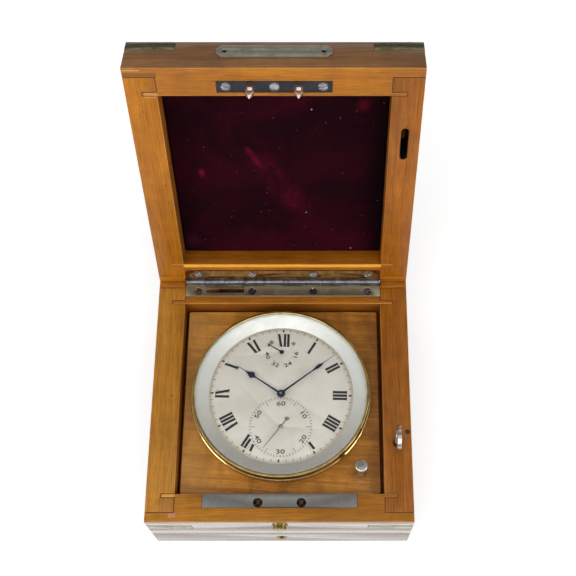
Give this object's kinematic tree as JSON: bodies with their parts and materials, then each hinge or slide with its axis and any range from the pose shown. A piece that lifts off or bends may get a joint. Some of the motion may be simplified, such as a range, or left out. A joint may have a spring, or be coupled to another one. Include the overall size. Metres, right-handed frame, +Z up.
{
  "type": "chronometer box",
  "caption": "Wooden chronometer box, open: hinged lid with latch hooks, middle tier that tilts up, lift-out board with a bowl, screwed bezel, dial, hands and winding key.",
  "frame": {"origin": "middle of the underside of the box", "axes": "+X to the right, -Y to the front where the button and keyhole are, +Z up"},
  "size_m": [0.17, 0.2459, 0.218],
  "materials": {
    "wood": "oiled, satin",
    "board_wood": "oiled, mottled",
    "velvet": "velvet",
    "dark_brass": "tarnished",
    "brass": "polished",
    "nickel": "nickel-plated",
    "dull_nickel": "dull nickel",
    "steel": "bright",
    "silvered": "silvered",
    "dial_silver": "silvered, matte",
    "blued_steel": "blued",
    "glass": "clear"
  },
  "bodies": {
    "base": {"base_front_wall": "wood", "base_rear_wall": "wood", "base_left_wall": "wood", "base_right_wall": "wood", "bottom_panel": "wood", "lock_body": "brass", "key_escutcheon": "brass", "base_hinge_leaf": "nickel", "base_hinge_screws": "nickel", "tier_hinge_pin": "steel"},
    "lock_bolt": {"lock_bolt": "steel"},
    "tier": {"tier_front_wall": "wood", "tier_rear_wall": "wood", "tier_left_wall": "wood", "tier_right_wall": "wood", "board_ledges": "wood", "strike_plate": "dull_nickel", "button_collar": "brass", "lock_link_plate": "steel", "tier_hinge_leaf": "nickel", "tier_hinge_screws": "nickel", "rim_hinge_leaf": "nickel", "lid_hinge_pin": "steel", "tier_corner_straps": "dark_brass", "latch_spring": "steel"},
    "latch": {"latch_slide": "steel"},
    "push_button": {"push_button": "brass"},
    "key": {"winding_key": "brass"},
    "lid": {"lid_front_rail": "wood", "lid_rear_rail": "wood", "lid_left_rail": "wood", "lid_right_rail": "wood", "lid_panel": "wood", "lid_lining": "velvet", "number_plate": "dull_nickel", "number_plate_screws": "nickel", "lid_corner_straps": "dark_brass", "hook_plate": "nickel", "hook_plate_screws": "nickel", "lid_hinge_leaf": "nickel", "lid_hinge_screws": "nickel"},
    "board": {"board": "board_wood", "lifting_knob": "nickel", "knob_nut": "brass", "bowl": "brass", "reflector_ring": "silvered", "dial": "dial_silver", "pillar_plate": "brass", "movement_pillars": "brass", "back_plate": "brass"},
    "glass": {"bezel_glass": "glass"},
    "bezel": {"bezel": "brass"},
    "minute": {"minute_hand": "blued_steel"},
    "hour": {"hour_hand": "blued_steel"},
    "seconds": {"seconds_hand": "blued_steel"},
    "up_down": {"up_down_hand": "blued_steel"}
  },
  "joints": [
    {"name": "lid_hinge", "type": "hinge", "parent": "tier", "child": "lid", "pos_m": [0, 0.0835, 0.057], "axis": [-1, 0, 0], "range_deg": [-107.2, 0]},
    {"name": "tier_hinge", "type": "hinge", "parent": "base", "child": "tier", "pos_m": [0, 0.0835, 0.024], "axis": [-1, 0, 0], "range_deg": [0, 70]},
    {"name": "board_lift", "type": "slide", "parent": "tier", "child": "board", "axis": [0, 0, 1], "range_m": [0, 0.08]},
    {"name": "bezel_rise", "type": "slide", "parent": "board", "child": "glass", "axis": [0, 0, 1], "range_m": [0, 0.003]},
    {"name": "bezel_turn", "type": "hinge", "parent": "glass", "child": "bezel", "pos_m": [0, 0, 0.054], "axis": [0, 0, 1], "range_deg": [0, 1080]},
    {"name": "minute_turn", "type": "hinge", "parent": "board", "child": "minute", "pos_m": [0, 0, 0.059], "axis": [0, 0, -1], "continuous": true},
    {"name": "hour_turn", "type": "hinge", "parent": "board", "child": "hour", "pos_m": [0, 0, 0.059], "axis": [0, 0, -1], "continuous": true},
    {"name": "seconds_turn", "type": "hinge", "parent": "board", "child": "seconds", "pos_m": [0, -0.0225, 0.059], "axis": [0, 0, -1], "continuous": true},
    {"name": "up_down_turn", "type": "hinge", "parent": "board", "child": "up_down", "pos_m": [0, 0.03, 0.059], "axis": [0, 0, 1], "range_deg": [-54, 298]},
    {"name": "button_press", "type": "slide", "parent": "tier", "child": "push_button", "axis": [0, 1, 0], "range_m": [0, 0.0015], "stiffness_N_per_m": 300, "springref_m": -0.002},
    {"name": "latch_slide", "type": "slide", "parent": "tier", "child": "latch", "axis": [0, 1, 0], "range_m": [0, 0.0015], "deforming": ["latch_spring"]},
    {"name": "bolt_throw", "type": "slide", "parent": "base", "child": "lock_bolt", "axis": [1, 0, 0], "range_m": [0, 0.008]},
    {"name": "key_lift", "type": "slide", "parent": "tier", "child": "key", "axis": [0, 0, 1], "range_m": [0, 0.04]}
  ],
  "couplings": [
    {"joint": "bezel_rise", "follows": "bezel_turn", "m_per_rad": 0.00015915},
    {"joint": "hour_turn", "follows": "minute_turn", "ratio": 0.083333},
    {"joint": "seconds_turn", "follows": "minute_turn", "ratio": 60},
    {"joint": "latch_slide", "follows": "button_press", "ratio": 1}
  ]
}
